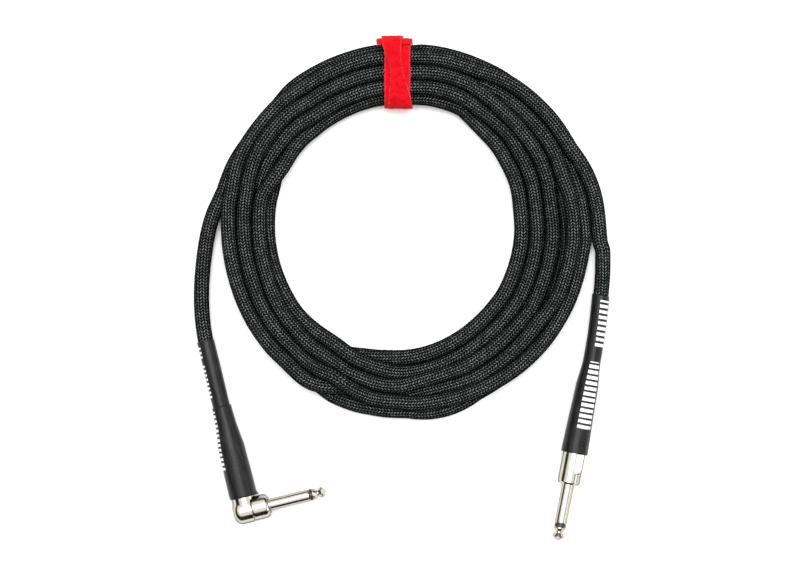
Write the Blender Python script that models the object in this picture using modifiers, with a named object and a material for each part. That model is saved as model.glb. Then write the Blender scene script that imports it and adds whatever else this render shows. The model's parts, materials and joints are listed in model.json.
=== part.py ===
"""A coiled instrument cable with a right-angle plug, a straight plug and a hook-and-loop tie.

The cable lies flat, as it would on a table: +X to the right, +Y away, +Z up, and the table is
z = 0. The origin is under the middle of the whole layout. Lengths below are in millimetres and
angles in degrees; MM turns lengths into metres where the meshes are made.
"""

import math

import bmesh
import bpy
from mathutils import Matrix, Vector

MM = 0.001
GAP = 0.3  # left between two solids that touch
STEPS = 24  # sides of a turned piece
FINE_STEPS = 12  # sides of a thin turned piece

# The cable and its layers, from the outside in: outer and inner radius of each.
CABLE_R = 4.2
LAYERS = {
    "braid_end": (4.0, 3.5),
    "jacket_end": (3.2, 2.45),
    "shield_end": (2.15, 1.75),
    "dielectric_end": (1.45, 0.75),
    "core_end": (0.45, 0.0),
}

# The coil: its middle in plan, and how its outline runs round it. Each row is an angle from +X,
# the inner and outer radius, and the lowest and highest point. The two jumps in the outer radius
# are where the leads run into the coil.
COIL_MIDDLE = (-3.7, 32.5)
COIL_ROWS = [
    (0.0, 64.0, 105.9, 0.0, 16.7),
    (2.0, 64.0, 106.0, 0.0, 16.7),
    (2.7, 64.0, 114.6, 0.0, 16.7),
    (10.0, 64.3, 112.5, 0.0, 16.5),
    (20.0, 64.6, 110.4, 0.0, 16.3),
    (30.0, 65.3, 107.8, 0.0, 17.4),
    (42.0, 66.5, 106.0, 0.0, 20.0),
    (50.0, 67.6, 104.7, 0.0, 19.4),
    (62.0, 68.6, 103.0, 0.0, 16.9),
    (80.0, 67.2, 100.6, 0.3, 17.6),
    (84.0, 66.5, 100.0, 1.5, 17.8),
    (98.0, 66.0, 99.3, 1.5, 17.8),
    (102.0, 65.7, 99.2, 0.3, 17.4),
    (120.0, 65.0, 98.6, 0.0, 16.4),
    (135.0, 64.2, 98.2, 0.0, 17.6),
    (148.0, 64.4, 98.0, 0.0, 22.0),
    (155.0, 65.8, 98.4, 0.0, 20.4),
    (163.0, 65.4, 99.8, 0.0, 16.8),
    (170.0, 65.2, 101.5, 0.0, 16.3),
    (175.9, 65.2, 103.6, 0.0, 15.8),
    (176.6, 65.2, 94.6, 0.0, 15.8),
    (190.0, 65.0, 95.0, 0.0, 15.8),
    (205.0, 65.0, 95.8, 0.0, 16.4),
    (220.0, 65.1, 98.2, 0.0, 16.8),
    (238.0, 65.3, 100.2, 0.0, 18.2),
    (249.0, 67.0, 100.6, 0.0, 24.2),
    (260.0, 66.8, 102.2, 0.0, 24.0),
    (268.0, 66.3, 103.4, 0.0, 18.2),
    (280.0, 66.0, 104.0, 0.0, 16.8),
    (305.0, 65.0, 103.8, 0.0, 16.8),
    (330.0, 64.2, 106.5, 0.0, 16.8),
]
COIL_STEP = 5.0
COIL_CORNER = 6.6  # largest rounding of the coil's section

# A 6.35 mm phone plug, measured from the shoulder that stops it in a jack.
SHAFT_R = 3.175
SHAFT_BORE_R = 2.05
SHAFT_LENGTH = 21.6
RING = (21.9, 23.6)  # the insulating ring before the tip
RING_R = 3.1
TUBE_R = (1.75, 1.2)  # the insulating tube between the shaft and the tip's rod
ROD_R = 0.9
TIP = [(3.05, 23.9), (3.05, 24.4), (1.75, 26.2), (1.75, 26.7), (3.12, 28.5), (2.95, 29.1), (0.6, 30.9), (0.0, 31.0)]

# The right-angle plug. The shaft and the cable leave a corner at right angles.
ANGLED_CORNER = (-84.0, -120.1)
ANGLED_HEIGHT = 7.55
ANGLED_SHAFT_HEADING = 13.7
ANGLED_SHOULDER = 13.0
ANGLED_REAR = 1.6
ANGLED_SLEEVE = (7.4, 94.4)  # where the shrink sleeve starts and ends along the cable
ANGLED_STEP = 57.9

# The straight plug.
STRAIGHT_SHOULDER = (89.8, -105.8)
STRAIGHT_HEIGHT = 7.35
STRAIGHT_CABLE_HEADING = 79.1
STRAIGHT_REAR = -16.0
STRAIGHT_SLEEVE = (17.0, 103.6)
STRAIGHT_STEP = 65.7
SHELL_R = 5.95
SHELL_BORE_R = 5.2
SHELL_LENGTH = 34.0
POCKET_TURN = 35.0  # how far the pocket in the shell is turned from straight up
POCKET_FLOOR = 5.45
POCKET_HALF_WIDTH = 2.6
POCKET_END = -6.0

# How far the thin end of each sleeve has bent by its end: down, then sideways.
ANGLED_BEND = (-1.7, 0.0)
STRAIGHT_BEND = (-1.6, -1.9)

# The routes of the two leads in plan with their height, from sleeve to coil.
ANGLED_LEAD = [(-108.2, -14.0, 4.7), (-108.4, -2.0, 4.25), (-107.5, 12.0, 4.25), (-105.3, 25.0, 4.25), (-102.9, 37.0, 4.3)]
STRAIGHT_LEAD = [(108.4, 8.0, 4.75), (108.4, 18.0, 4.7), (107.9, 27.0, 5.6), (106.9, 35.3, 7.2)]
LEAD_STEP = 10.0

# The tie. The strap goes round the coil at its far side, and its path is a rounded rectangle.
STRAP_T = 1.1
STRAP_X = -2.6
STRAP_HALF_WIDTH = 7.0
STRAP_Y = (97.75, 132.85)
STRAP_Z = (0.55, 18.75)
STRAP_CORNER = 6.0
HEAD_X = -4.1
HEAD_HALF_WIDTH = 9.8
HEAD_ARC = (2.0, 56.0)
SLOT_HALF_WIDTH = 6.2
FLAP_T = 1.0
FLAP_ARC = (-6.0, 58.0)
FLAP_END_ARC = (90.0, 163.0)
# Where the flap's outline changes, as (share of its length, middle in x, half width).
FLAP_OUTLINE = [(0.0, -5.0, 6.2), (0.2, -5.6, 5.3), (0.5, -3.2, 3.5), (0.8, -1.4, 5.8), (1.0, -1.0, 6.8)]

BLACK = (0.012, 0.012, 0.014)
NICKEL = (0.72, 0.69, 0.64)
RED = (0.75, 0.015, 0.025)
LOOKS = {
    "braid": (BLACK, 0.75, 0.0),
    "shrink": ((0.016, 0.017, 0.018), 0.38, 0.0),
    "nickel": (NICKEL, 0.18, 1.0),
    "brass": ((0.7, 0.5, 0.22), 0.3, 1.0),
    "insulator": ((0.02, 0.02, 0.02), 0.45, 0.0),
    "jacket": ((0.03, 0.03, 0.03), 0.5, 0.0),
    "copper": ((0.8, 0.36, 0.2), 0.3, 1.0),
    "dielectric": ((0.85, 0.85, 0.82), 0.5, 0.0),
    "felt": (RED, 0.95, 0.0),
}


def clear_scene():
    for obj in list(bpy.data.objects):
        bpy.data.objects.remove(obj, do_unlink=True)


def make_collection(name):
    collection = bpy.data.collections.new(name)
    bpy.context.scene.collection.children.link(collection)
    return collection


def make_material(name, look):
    colour, roughness, metallic = LOOKS[look]
    material = bpy.data.materials.new(name)
    material.use_nodes = True
    shader = material.node_tree.nodes["Principled BSDF"]
    shader.inputs["Base Color"].default_value = (*colour, 1.0)
    shader.inputs["Roughness"].default_value = roughness
    shader.inputs["Metallic"].default_value = metallic
    return material


def place(name, data, frame, look, helper=False):
    """Links an object of its own name and material under a frame; a helper is only cut with or joined."""
    obj = bpy.data.objects.new(name, data)
    (CUTTERS if helper else PARTS).objects.link(obj)
    obj.parent = frame
    if helper:
        obj.hide_render = True
        obj.display_type = "WIRE"
    else:
        data.materials.append(make_material(name, look))
    return obj


def make_empty(name, matrix, parent):
    empty = bpy.data.objects.new(name, None)
    PARTS.objects.link(empty)
    empty.parent = parent
    empty.matrix_local = matrix
    empty.empty_display_size = 5 * MM
    return empty


def plan_frame(name, plan, height, heading, parent):
    """An empty whose Z runs along a heading in plan, and whose X points up."""
    along = Vector((math.cos(math.radians(heading)), math.sin(math.radians(heading)), 0.0))
    up = Vector((0.0, 0.0, 1.0))
    matrix = Matrix((up, along.cross(up), along)).transposed().to_4x4()
    matrix.translation = Vector((plan[0], plan[1], height)) * MM
    return make_empty(name, matrix, parent)


def bend_offset(bend, step, end, along):
    """How far a point at a distance along the cable has moved up and sideways."""
    share = max(0.0, (along - step) / (end - step)) ** 2
    return Vector((bend[0] * share, bend[1] * share, 0.0))


def with_stations(profile, spacing):
    """The closed profile with points added along its long edges, so that it can bend."""
    points = []
    for here, there in zip(profile, profile[1:] + profile[:1]):
        count = max(1, round(math.dist(here, there) / spacing))
        for i in range(count):
            points.append(tuple(a + (b - a) * i / count for a, b in zip(here, there)))
    return points


def turned(name, profile, frame, look, steps=STEPS, helper=False):
    """A turned solid. The profile is (radius, height), down its outer side and closed or on the axis."""
    count = len(profile)
    on_axis = profile[0][0] == 0.0 and profile[-1][0] == 0.0
    mesh = bpy.data.meshes.new(name)
    edges = [(i, (i + 1) % count) for i in range(count - on_axis)]
    mesh.from_pydata([(r * MM, 0.0, z * MM) for r, z in profile], edges, [])
    obj = place(name, mesh, frame, look, helper)
    screw = obj.modifiers.new("turn", "SCREW")
    screw.steps = steps
    screw.render_steps = steps
    screw.use_merge_vertices = True
    screw.merge_threshold = 0.00001
    return obj


def tube_profile(outer, inner, start, end):
    """A plain tube's profile, or a rod's where the inner radius is 0."""
    return [(inner, end), (outer, end), (outer, start), (inner, start)]


def bent(obj, bend, step, end):
    """Turns the object's modifiers into its mesh and bends it with the thin end of its sleeve."""
    graph = bpy.context.evaluated_depsgraph_get()
    mesh = bpy.data.meshes.new_from_object(obj.evaluated_get(graph))
    obj.modifiers.clear()
    obj.data = mesh
    for vertex in mesh.vertices:
        vertex.co += bend_offset(bend, step, end, vertex.co.z / MM) * MM
    return obj


def boolean(obj, operation, other):
    modifier = obj.modifiers.new(operation.lower(), "BOOLEAN")
    modifier.operation = operation
    modifier.object = other


def smooth_shaded(obj, angle=35.0):
    if obj.type == "MESH":
        obj.data.shade_smooth()
        obj.data.set_sharp_from_angle(angle=math.radians(angle))


def loft(name, rings, frame, look, closed):
    """A solid through rings of points that all have the same count; open ends are capped."""
    count = len(rings[0])
    last = len(rings) if closed else len(rings) - 1
    shape = bmesh.new()
    verts = [[shape.verts.new(point * MM) for point in ring] for ring in rings]
    for i in range(last):
        here, there = verts[i], verts[(i + 1) % len(rings)]
        for j in range(count):
            shape.faces.new((here[j], here[(j + 1) % count], there[(j + 1) % count], there[j]))
    if not closed:
        shape.faces.new(verts[0])
        shape.faces.new(verts[-1])
    bmesh.ops.recalc_face_normals(shape, faces=shape.faces)
    mesh = bpy.data.meshes.new(name)
    shape.to_mesh(mesh)
    shape.free()
    return place(name, mesh, frame, look)


def flat_plate(name, outlines, thickness, frame, look, at, helper=False):
    """A flat outline, with any holes, as thick as asked, with its lower face at a height."""
    curve = bpy.data.curves.new(name, "CURVE")
    curve.dimensions = "2D"
    curve.fill_mode = "BOTH"
    curve.extrude = thickness / 2 * MM
    for outline in outlines:
        spline = curve.splines.new("POLY")
        spline.points.add(len(outline) - 1)
        spline.use_cyclic_u = True
        for point, (x, y) in zip(spline.points, outline):
            point.co = (x * MM, y * MM, 0.0, 1.0)
    source = bpy.data.objects.new(name, curve)
    CUTTERS.objects.link(source)
    graph = bpy.context.evaluated_depsgraph_get()
    mesh = bpy.data.meshes.new_from_object(source.evaluated_get(graph))
    bpy.data.objects.remove(source)
    mesh.materials.clear()
    shape = bmesh.new()
    shape.from_mesh(mesh)
    bmesh.ops.remove_doubles(shape, verts=shape.verts, dist=0.000001)
    bmesh.ops.recalc_face_normals(shape, faces=shape.faces)
    shape.to_mesh(mesh)
    shape.free()
    obj = place(name, mesh, frame, look, helper)
    obj.location.z = (at + thickness / 2) * MM
    return obj


def arc(radius, start, end, count, middle=(0.0, 0.0)):
    """Points along an arc, both ends included."""
    angles = [math.radians(start + (end - start) * i / count) for i in range(count + 1)]
    return [(middle[0] + radius * math.cos(a), middle[1] + radius * math.sin(a)) for a in angles]


def circle(radius, count=FINE_STEPS):
    return arc(radius, 0.0, 360.0, count)[:-1]


def box_cutter(name, low, high, frame):
    shape = bmesh.new()
    middle = (Vector(low) + Vector(high)) / 2 * MM
    size = (Vector(high) - Vector(low)) * MM
    bmesh.ops.create_cube(shape, size=1.0, matrix=Matrix.Translation(middle) @ Matrix.Diagonal((*size, 1.0)))
    mesh = bpy.data.meshes.new(name)
    shape.to_mesh(mesh)
    shape.free()
    return place(name, mesh, frame, "nickel", helper=True)


def smooth_route(points, spacing):
    """Points at an even spacing along a Catmull-Rom curve through the route's own points."""
    ends = [2 * points[0] - points[1], *points, 2 * points[-1] - points[-2]]
    fine = []
    for a, b, c, d in zip(ends, ends[1:], ends[2:], ends[3:]):
        for i in range(20):
            t = i / 20
            fine.append(((2 * b) + (c - a) * t + (2 * a - 5 * b + 4 * c - d) * t * t + (3 * b - a - 3 * c + d) * t**3) / 2)
    fine.append(points[-1])
    lengths = [0.0]
    for here, there in zip(fine, fine[1:]):
        lengths.append(lengths[-1] + (there - here).length)
    count = max(2, round(lengths[-1] / spacing))
    route = []
    for i in range(count + 1):
        target = lengths[-1] * i / count
        j = max(k for k in range(len(fine)) if lengths[k] <= target + 1e-9)
        j = min(j, len(fine) - 2)
        share = (target - lengths[j]) / (lengths[j + 1] - lengths[j])
        route.append(fine[j].lerp(fine[j + 1], share))
    return route


def lead(name, route, frame):
    """A round cable through a route, as a curve with flat filled ends."""
    curve = bpy.data.curves.new(name, "CURVE")
    curve.dimensions = "3D"
    curve.bevel_depth = CABLE_R * MM
    curve.bevel_resolution = 3
    curve.use_fill_caps = True
    spline = curve.splines.new("POLY")
    spline.points.add(len(route) - 1)
    for point, place_in_plan in zip(spline.points, route):
        point.co = (*(place_in_plan * MM), 1.0)
    return place(name, curve, frame, "braid")


def plug_contacts(prefix, frame, shoulder, rear, washer_r, tab):
    """The shaft, the tip with its rod, and what keeps them apart. rear is the shaft's back end."""
    tube_end = rear - 1.9
    shaft = [
        (SHAFT_BORE_R, shoulder + SHAFT_LENGTH),
        (SHAFT_R - 0.2, shoulder + SHAFT_LENGTH),
        (SHAFT_R, shoulder + SHAFT_LENGTH - 0.3),
        (SHAFT_R, rear),
        (SHAFT_BORE_R, rear),
    ]
    turned(prefix + "sleeve_contact", shaft, frame, "nickel")
    insulator = [
        (TUBE_R[1], shoulder + RING[1]),
        (RING_R, shoulder + RING[1]),
        (RING_R, shoulder + RING[0]),
        (TUBE_R[0], shoulder + RING[0]),
        (TUBE_R[0], tube_end),
        (TUBE_R[1], tube_end),
    ]
    turned(prefix + "tip_insulator", insulator, frame, "insulator")
    tip = [(r, shoulder + z) for r, z in reversed(TIP)]
    tip += [(ROD_R, shoulder + TIP[0][1]), (ROD_R, rear - 4.2), (0.0, rear - 4.2)]
    turned(prefix + "tip_contact", tip, frame, "nickel")
    washer = tube_profile(washer_r, SHAFT_BORE_R, rear - 1.6, rear - GAP)
    turned(prefix + "rear_insulator", washer, frame, "insulator")
    half = 1.2
    reach = math.degrees(math.asin(half / 2.2))
    side = -1.0 if tab < 0 else 1.0
    rim = arc(2.2, 90.0 + reach, 450.0 - reach, 10)
    keyhole = [(x, side * y) for x, y in rim + [(half, abs(tab)), (-half, abs(tab))]]
    flat_plate(prefix + "tip_lug", [keyhole, circle(TUBE_R[1])], 0.8, frame, "brass", rear - 3.2)


def cable_layers(prefix, frame, bend, step, end, ends):
    """The stripped end of the cable: each layer runs from just inside the sleeve to its own end."""
    for name, (outer, inner) in LAYERS.items():
        profile = tube_profile(outer, inner, ends[name], end - 2.0)
        look = {"braid_end": "braid", "jacket_end": "jacket", "dielectric_end": "dielectric"}.get(name, "copper")
        if inner:
            profile = with_stations(profile, 9.0)
        else:
            rod = with_stations(profile, 9.0)
            profile = [p for i, p in enumerate(rod) if p[0] > 0 or i == 0 or p == (0.0, ends[name])]
        obj = turned(prefix + name, profile, frame, look, FINE_STEPS)
        smooth_shaded(bent(obj, bend, step, end))


def shrink_sleeve(name, outside, inside, frame, bend, step, end):
    """A sleeve from its outer and inner outline, each as (radius, distance) from its mouth."""
    profile = list(reversed(outside)) + inside
    obj = turned(name, with_stations(profile, 9.0), frame, "shrink")
    smooth_shaded(bent(obj, bend, step, end))


def angled_plug(root):
    shaft = plan_frame("angled_shaft_axis", ANGLED_CORNER, ANGLED_HEIGHT, ANGLED_SHAFT_HEADING, root)
    cable = plan_frame("angled_cable_axis", ANGLED_CORNER, ANGLED_HEIGHT, ANGLED_SHAFT_HEADING + 90.0, root)
    plug_contacts("angled_", shaft, ANGLED_SHOULDER, ANGLED_REAR, 3.0, -6.5)

    socket_r, knuckle_r, rounding = 6.6, 6.8, 4.2
    elbow = turned("angled_elbow", [(0.0, 24.0), (socket_r, 24.0), (socket_r, 0.0), (0.0, 0.0)], cable, "nickel", 32)
    corner = [(r, z) for z, r in arc(rounding, 90.0, 180.0, 5, (rounding - 7.2, knuckle_r - rounding))]
    knuckle = turned("angled_knuckle", [(0.0, 3.2), (knuckle_r, 3.2), *corner, (0.0, -7.2)], shaft, "nickel", 32, True)
    socket_bore = turned("angled_socket_bore", [(0.0, 25.0), (5.4, 25.0), (5.4, 0.0), (0.0, 0.0)], cable, "nickel", 24, True)
    front_bore = turned("angled_front_bore", [(0.0, 4.2), (5.2, 4.2), (5.2, -5.8), (0.0, -5.8)], shaft, "nickel", 24, True)
    seat = turned("angled_front_seat", [(0.0, 15.0), (6.8, 15.0), (6.8, 3.2), (0.0, 3.2)], shaft, "nickel", 32, True)
    boolean(elbow, "UNION", knuckle)
    boolean(elbow, "DIFFERENCE", seat)
    boolean(elbow, "DIFFERENCE", socket_bore)
    boolean(elbow, "DIFFERENCE", front_bore)

    bore = SHAFT_R + GAP
    front = [(bore, 12.2), (5.7, 12.2), (6.5, 10.8), (6.5, 3.5), (4.9, 3.5), (4.9, 1.9), (bore, 1.9)]
    turned("angled_front", front, shaft, "nickel", 32)
    turned("angled_flange_washer", tube_profile(4.5, bore, 12.5, ANGLED_SHOULDER), shaft, "nickel")
    clamp = arc(4.3, 125.0, 415.0, 14) + arc(3.5, 415.0, 125.0, 14)
    flat_plate("angled_cable_clamp", [clamp], 6.0, cable, "brass", 15.0)

    mouth, end = ANGLED_SLEEVE
    outside = [(7.45, mouth), (7.5, 9.0), (7.45, 20.0), (7.2, 34.9), (6.4, 41.0), (5.7, 46.9), (5.25, ANGLED_STEP - 0.3)]
    outside += [(4.75, ANGLED_STEP + 0.3), (4.75, end - 0.5), (4.6, end)]
    inside = [(6.9, mouth), (6.9, 24.6), (6.4, 25.2), (6.4, 34.9), (5.05, 46.9), (4.3, 58.0), (4.3, end)]
    shrink_sleeve("angled_shrink_outer", outside, inside, cable, ANGLED_BEND, ANGLED_STEP, end)
    inner = [(4.3, 50.0), (4.6, 50.0), (4.75, 46.9), (6.05, 34.9), (6.1, 28.0), (4.3, 28.0)]
    turned("angled_shrink_inner", inner, cable, "shrink")
    ends = {"braid_end": 26.0, "jacket_end": 13.5, "shield_end": 11.3, "dielectric_end": 8.5, "core_end": 4.6}
    cable_layers("angled_", cable, ANGLED_BEND, ANGLED_STEP, end, ends)
    return cable


def straight_plug(root):
    heading = STRAIGHT_CABLE_HEADING
    shaft = plan_frame("straight_shaft_axis", STRAIGHT_SHOULDER, STRAIGHT_HEIGHT, heading + 180.0, root)
    cable = plan_frame("straight_cable_axis", STRAIGHT_SHOULDER, STRAIGHT_HEIGHT, heading, root)
    plug_contacts("straight_", shaft, 0.0, STRAIGHT_REAR, 3.1, 3.6)

    shell = [(4.1, 0.0), (5.2, 0.0), (SHELL_R, -1.0), (SHELL_R, -SHELL_LENGTH)]
    shell += [(SHELL_BORE_R, -SHELL_LENGTH), (SHELL_BORE_R, -1.8), (4.1, -1.8)]
    shell = turned("straight_shell", shell, shaft, "nickel", 32)
    pocket = make_empty("straight_pocket_axis", Matrix.Rotation(math.radians(-POCKET_TURN), 4, "Z"), shaft)
    round_end = POCKET_END - POCKET_HALF_WIDTH
    tall = (POCKET_FLOOR, SHELL_R + 2.0)
    low = (tall[0], -POCKET_HALF_WIDTH, -26.0)
    slot = box_cutter("straight_pocket_slot", low, (tall[1], POCKET_HALF_WIDTH, round_end), pocket)
    disc = [(0.0, tall[1]), (POCKET_HALF_WIDTH, tall[1]), (POCKET_HALF_WIDTH, tall[0]), (0.0, tall[0])]
    nose = turned("straight_pocket_nose", disc, pocket, "nickel", 24, True)
    nose.matrix_local = Matrix.Translation((0.0, 0.0, round_end * MM)) @ Matrix.Rotation(math.radians(90.0), 4, "Y")
    boolean(shell, "DIFFERENCE", slot)
    boolean(shell, "DIFFERENCE", nose)

    bore = SHAFT_R + GAP
    body = [(bore, 0.0), (3.8, 0.0), (3.8, -2.1), (4.85, -2.1), (4.85, -14.0), (bore, -14.0)]
    turned("straight_body", body, shaft, "nickel")
    turned("straight_liner", tube_profile(4.9, 4.6, -33.0, -15.8), shaft, "insulator")

    lug = turned("straight_ground_lug", tube_profile(4.4, bore, -15.2, -14.4), shaft, "brass")
    strip = box_cutter("straight_lug_strip", (-4.15, -1.3, -32.8), (-3.5, 1.3, -14.5), shaft)
    clasp = arc(4.15, 55.0, 305.0, 14) + arc(3.5, 305.0, 55.0, 14)
    clasp = flat_plate("straight_lug_clasp", [clasp], 6.0, shaft, "brass", -33.0, True)
    boolean(lug, "UNION", strip)
    boolean(lug, "UNION", clasp)

    mouth, end = STRAIGHT_SLEEVE
    outside = [(7.3, mouth), (6.1, 54.4), (4.75, STRAIGHT_STEP), (4.75, end - 0.5), (4.6, end)]
    inside = [(6.25, mouth), (6.25, 34.6), (5.9, 35.2), (5.3, 54.0), (4.3, 64.5), (4.3, end)]
    shrink_sleeve("straight_shrink_outer", outside, inside, cable, STRAIGHT_BEND, STRAIGHT_STEP, end)
    inner = [(4.3, 57.0), (4.7, 57.0), (5.0, 54.0), (5.5, 37.5), (4.3, 37.5)]
    turned("straight_shrink_inner", inner, cable, "shrink")
    ends = {"braid_end": 37.0, "jacket_end": 25.0, "shield_end": 23.0, "dielectric_end": 21.8, "core_end": 20.5}
    cable_layers("straight_", cable, STRAIGHT_BEND, STRAIGHT_STEP, end, ends)
    return cable


def coil_outline(angle):
    """The coil's inner and outer radius and its lowest and highest point at an angle."""
    rows = COIL_ROWS + [(360.0, *COIL_ROWS[0][1:])]
    for here, there in zip(rows, rows[1:]):
        if here[0] <= angle <= there[0]:
            share = (angle - here[0]) / (there[0] - here[0])
            return [a + (b - a) * share for a, b in zip(here[1:], there[1:])]
    return list(rows[0][1:])


def rounded_rectangle(low, high, corner, count):
    """Points round a rectangle with round corners, from its right-hand side up."""
    points = []
    for quarter, (x, y) in enumerate([(high[0], high[1]), (low[0], high[1]), (low[0], low[1]), (high[0], low[1])]):
        middle = (x - corner if x == high[0] else x + corner, y - corner if y == high[1] else y + corner)
        points += arc(corner, 90.0 * quarter, 90.0 * quarter + 90.0, count, middle)
    return points


def coil(root):
    """The coiled cable as one solid of its outer shape."""
    angles = {round(i * COIL_STEP, 3) for i in range(round(360.0 / COIL_STEP))}
    angles |= {row[0] for row in COIL_ROWS}
    rings = []
    for angle in sorted(angles):
        inner, outer, low, high = coil_outline(angle)
        corner = min(COIL_CORNER, (high - low) / 2.02)
        turn = math.radians(angle)
        ring = []
        for radius, height in rounded_rectangle((inner, low), (outer, high), corner, 3):
            x = COIL_MIDDLE[0] + radius * math.cos(turn)
            y = COIL_MIDDLE[1] + radius * math.sin(turn)
            ring.append(Vector((x, y, height)))
        rings.append(ring)
    smooth_shaded(loft("cable_coil", rings, root, "braid", closed=True), 50.0)


def leads(root, angled, straight):
    """The two stretches between the coil and the sleeves."""
    ends = [
        ("cable_lead_angled", angled, ANGLED_BEND, ANGLED_STEP, ANGLED_SLEEVE[1], ANGLED_LEAD),
        ("cable_lead_straight", straight, STRAIGHT_BEND, STRAIGHT_STEP, STRAIGHT_SLEEVE[1], STRAIGHT_LEAD),
    ]
    for name, frame, bend, step, end, route in ends:
        away = end + 2.6 * GAP
        start = [bend_offset(bend, step, end, s) + Vector((0.0, 0.0, s)) for s in (away, away + 4.0)]
        start = [frame.matrix_local @ (point * MM) / MM for point in start]
        points = smooth_route(start + [Vector(point) for point in route], LEAD_STEP)
        lead(name, points, root)


def ribbon(name, path, widths, thickness, frame, look, closed=False):
    """A flat strip along a path of (y, z), with a middle and a half width in x at each point."""
    rings = []
    count = len(path)
    for i, ((y, z), (x, half)) in enumerate(zip(path, widths)):
        before = path[i - 1] if i or closed else path[i]
        after = path[(i + 1) % count] if i < count - 1 or closed else path[i]
        along = Vector((0.0, after[0] - before[0], after[1] - before[1])).normalized()
        out = Vector((0.0, along.z, -along.y)) * thickness / 2
        middle = Vector((x, y, z))
        side = Vector((half, 0.0, 0.0))
        rings.append([middle - side - out, middle + side - out, middle + side + out, middle - side + out])
    return loft(name, rings, frame, look, closed)


def between(rows, share):
    """The middle and half width at a share of the flap's length."""
    for here, there in zip(rows, rows[1:]):
        if share <= there[0]:
            t = (share - here[0]) / (there[0] - here[0])
            t = t * t * (3 - 2 * t)
            return tuple(a + (b - a) * t for a, b in zip(here[1:], there[1:]))
    return rows[-1][1:]


def tie(root):
    """The strap round the coil, the head with its slot, and the tail folded back over both."""
    low, high = (STRAP_Y[0], STRAP_Z[0]), (STRAP_Y[1], STRAP_Z[1])
    path = rounded_rectangle(low, high, STRAP_CORNER, 5)
    widths = [(STRAP_X, STRAP_HALF_WIDTH)] * len(path)
    ribbon("tie_strap", path, widths, STRAP_T, root, "felt", closed=True)

    outer_corner = (STRAP_Y[1] - STRAP_CORNER, STRAP_Z[1] - STRAP_CORNER)
    head_r = STRAP_CORNER + STRAP_T + GAP
    path = arc(head_r, *HEAD_ARC, 6, outer_corner)
    head = ribbon("tie_head", path, [(HEAD_X, HEAD_HALF_WIDTH)] * len(path), STRAP_T, root, "felt")
    slot_x = FLAP_OUTLINE[0][1]
    slot_low = (slot_x - SLOT_HALF_WIDTH, outer_corner[0] + 5.8, outer_corner[1] + 2.2)
    slot_high = (slot_x + SLOT_HALF_WIDTH, outer_corner[0] + 9.0, outer_corner[1] + 4.4)
    boolean(head, "DIFFERENCE", box_cutter("tie_slot", slot_low, slot_high, root))

    flap_r = head_r + (STRAP_T + FLAP_T) / 2 + GAP
    top = STRAP_Z[1] + (STRAP_T + FLAP_T) / 2 + GAP
    inner_corner = (STRAP_Y[0] + STRAP_CORNER, STRAP_Z[1] - STRAP_CORNER)
    path = arc(flap_r, *FLAP_ARC, 6, outer_corner)
    path += [(outer_corner[0] + 1.4, top + 0.9), (outer_corner[0] - 2.2, top + 0.1), (outer_corner[0] - 5.0, top)]
    path += [(y, top) for y in (117.0, 112.0, 107.5)]
    path += arc(top - inner_corner[1], *FLAP_END_ARC, 5, inner_corner)
    hinge = Vector((FLAP_OUTLINE[0][1], *path[0]))
    axis = make_empty("tie_flap_axis", Matrix.Translation(hinge * MM), root)
    path = [(y - hinge.y, z - hinge.z) for y, z in path]
    lengths = [0.0]
    for here, there in zip(path, path[1:]):
        lengths.append(lengths[-1] + math.dist(here, there))
    widths = [between(FLAP_OUTLINE, length / lengths[-1]) for length in lengths]
    widths = [(x - hinge.x, half) for x, half in widths]
    ribbon("tie_flap", path, widths, FLAP_T, axis, "felt")


clear_scene()
PARTS = make_collection("instrument_cable")
CUTTERS = make_collection("cutters")
CUTTERS.hide_render = True

layout = make_empty("layout", Matrix.Identity(4), None)
angled_cable = angled_plug(layout)
straight_cable = straight_plug(layout)
coil(layout)
leads(layout, angled_cable, straight_cable)
tie(layout)
for part in PARTS.objects:
    if part.type == "MESH" and part.modifiers:
        smooth_shaded(part)
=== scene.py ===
"""The looks of a coiled, braided instrument cable with two phone plugs and a red hook-and-loop tie.

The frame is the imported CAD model: metres, +Z up, and the table at z = 0. Lengths below are in
millimetres and angles in degrees, and MM turns lengths into metres where the meshes are made. The
materials read places in metres, so their noise scales and bump heights are in metres too.
"""

import json
import math

import bmesh
import bpy
import numpy as np
from mathutils import Matrix, Vector

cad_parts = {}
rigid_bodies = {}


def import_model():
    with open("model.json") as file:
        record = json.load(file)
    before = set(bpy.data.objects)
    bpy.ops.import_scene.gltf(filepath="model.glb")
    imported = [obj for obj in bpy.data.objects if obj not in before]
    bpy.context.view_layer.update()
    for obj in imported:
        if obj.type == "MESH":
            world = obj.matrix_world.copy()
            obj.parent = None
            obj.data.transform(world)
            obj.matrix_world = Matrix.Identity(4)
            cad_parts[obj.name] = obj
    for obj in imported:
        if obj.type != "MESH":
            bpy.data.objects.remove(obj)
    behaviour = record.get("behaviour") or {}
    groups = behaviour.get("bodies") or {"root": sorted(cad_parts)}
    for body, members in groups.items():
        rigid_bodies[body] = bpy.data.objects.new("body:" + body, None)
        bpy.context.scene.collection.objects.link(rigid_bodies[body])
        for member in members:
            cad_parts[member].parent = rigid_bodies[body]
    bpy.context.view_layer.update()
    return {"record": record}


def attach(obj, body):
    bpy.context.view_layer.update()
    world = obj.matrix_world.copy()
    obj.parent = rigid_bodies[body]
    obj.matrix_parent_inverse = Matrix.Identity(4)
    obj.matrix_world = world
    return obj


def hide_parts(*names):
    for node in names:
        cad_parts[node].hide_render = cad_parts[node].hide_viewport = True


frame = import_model()

MM = 0.001

# ---------------------------------------------------------------------------------------------
# Sizes that the CAD source also states
# ---------------------------------------------------------------------------------------------

CABLE_D = 8.4
CABLE_R = CABLE_D / 2
COIL_MIDDLE = (-3.7, 32.5)

SHAFT_R = 3.175
SHAFT_LENGTH = 21.6
RING = (21.9, 23.6)
RING_R = 3.1

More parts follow.
